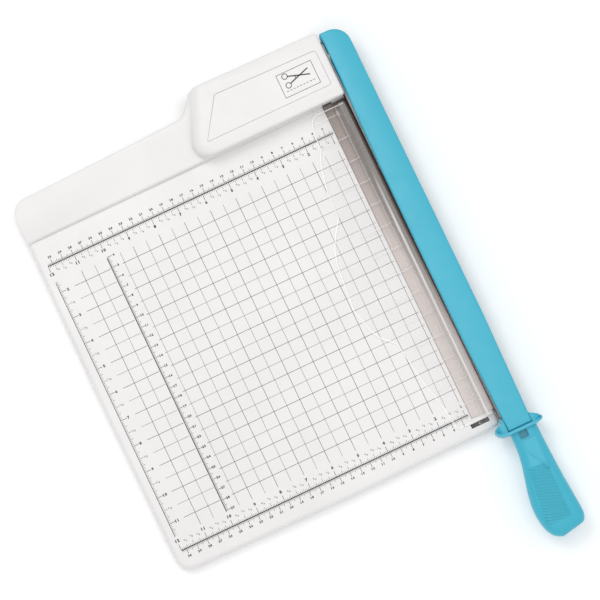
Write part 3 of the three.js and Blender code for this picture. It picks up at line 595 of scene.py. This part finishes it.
def panel_sign():
    """A plain frame holding open scissors over a dashed line: a generic cutting sign."""
    sign = Print(HOUSING_TOP + 0.06)
    left, bottom, right, top = SIGN_FRAME
    corners = [(left, bottom), (right, bottom), (right, top), (left, top)]
    for (ax, ay), (bx, by) in zip(corners, corners[1:] + corners[:1]):
        sign.bar(ax, ay, bx, by, SIGN_LINE_WIDTH)
    for k in range(DASH_COUNT):
        x = left + (k + 1) * DASH_PITCH
        sign.bar(x, DASH_Y, x + DASH_LENGTH, DASH_Y, 0.5)
    for y, other in (SCISSORS_HANDLES, SCISSORS_HANDLES[::-1]):
        ring(sign, SCISSORS_HANDLE_X, y, 2.5, 0.7)
        start, end = SCISSORS_BLADES_X
        sign.bar(start, y + (other - y) * 0.1, end, y + (other - y) * 0.84, 1.1)
    ring(sign, *SCISSORS_RIVET, 0.5, 0.5, sides=8)
    sign.finish("panel_sign", INK_DARK, "white_plastic")


panel_sign()


# ---------------------------------------------------------------- guard edge painted highlight
GUARD_EDGE = [
    (-3.4, -312.6), (-35.4, -312.6), (-37.2, -311.4), (-39.9, -291), (-46.8, -261), (-50.2, -238),
    (-52.6, -221.4), (-56.8, -216.6), (-63.4, -211.2), (-68.4, -202), (-75, -178), (-72.4, -150),
    (-70.2, -132), (-66.6, -120.4), (-60.6, -109.6), (-55.4, -102.2), (-51.4, -96), (-50.9, -72.6),
    (-45.4, -46.6), (-40, -34), (-37.8, -14), (-36.2, -9.4), (-33.4, -5.6), (-28.6, -4.4), (-3.4, -4.4),
]
GUARD_HIGHLIGHT_WIDTH = 0.9


def guard_edge():
    """A painted highlight: a bright line along the sheet's outline, just above its top face."""
    line = Print(GUARD_SHEET_TOP + 0.05)
    for (ax, ay), (bx, by) in zip(GUARD_EDGE, GUARD_EDGE[1:]):
        line.bar(ax, ay, bx, by, GUARD_HIGHLIGHT_WIDTH)
    line.finish("guard_edge", EDGE_HIGHLIGHT, "clear_plastic", body="guard")


guard_edge()


# ---------------------------------------------------------------- studio
# name, place in metres, size in metres, power in watts
LAMPS = (
    ("key", (-0.35, 1.0, 2.3), 0.9, 11.0),
    ("front", (-0.2, -1.7, 1.6), 1.6, 4.5),
    ("fill", (1.6, -0.3, 2.0), 1.6, 3.0),
    ("top", (0.0, 0.0, 4.2), 3.0, 41.0),
)
WORLD_STRENGTH = 0.55


def floor():
    floor_mesh = bpy.data.meshes.new("floor")
    floor_mesh.from_pydata([(-6, -6, 0), (6, -6, 0), (6, 6, 0), (-6, 6, 0)], [], [(0, 1, 2, 3)])
    sheet = bpy.data.objects.new("floor", floor_mesh)
    sheet.location.z = -0.0005
    bpy.context.scene.collection.objects.link(sheet)
    paper = Nodes("studio_paper")
    paper.set(Base_Color=(0.98, 0.98, 0.98, 1), Roughness=1.0, Specular_IOR_Level=0.0)
    paper.set(Emission_Color=(1, 1, 1, 1), Emission_Strength=0.1)
    floor_mesh.materials.append(paper.material)


def lamps():
    for name, place, size, power in LAMPS:
        light = bpy.data.lights.new(name, "AREA")
        light.shape = "SQUARE"
        light.size = size
        light.energy = power
        lamp = bpy.data.objects.new(name, light)
        lamp.location = place
        lamp.rotation_euler = (-Vector(place)).to_track_quat("-Z", "Y").to_euler()
        bpy.context.scene.collection.objects.link(lamp)


def world():
    world = bpy.data.worlds.new("studio")
    world.use_nodes = True
    world.node_tree.nodes["Background"].inputs["Color"].default_value = (1, 1, 1, 1)
    world.node_tree.nodes["Background"].inputs["Strength"].default_value = WORLD_STRENGTH
    bpy.context.scene.world = world
    bpy.context.scene.view_settings.view_transform = "Standard"


floor()
lamps()
world()

PICTURE_WIDTH = 536.1
PICTURE_CENTRE = (-114.1, -148.2)
CAMERA_DISTANCE = 3200.0
SENSOR_WIDTH = 36.0
PICTURE_TURN = 25.2
LEAN_BACK = 5.0
LEAN_RIGHT = 3.0


def camera():
    data = bpy.data.cameras.new("camera")
    data.sensor_width = SENSOR_WIDTH
    data.lens = SENSOR_WIDTH * CAMERA_DISTANCE / PICTURE_WIDTH
    data.clip_end = 50
    view = bpy.data.objects.new("camera", data)
    turn = (
        Matrix.Rotation(math.radians(LEAN_BACK), 3, "X")
        @ Matrix.Rotation(-math.radians(LEAN_RIGHT), 3, "Y")
        @ Matrix.Rotation(-math.radians(PICTURE_TURN), 3, "Z")
    )
    view.location = row(*PICTURE_CENTRE, DECK_TOP) + turn @ Vector((0, 0, CAMERA_DISTANCE * MM))
    view.rotation_euler = turn.to_euler()
    bpy.context.scene.collection.objects.link(view)
    bpy.context.scene.camera = view


camera()
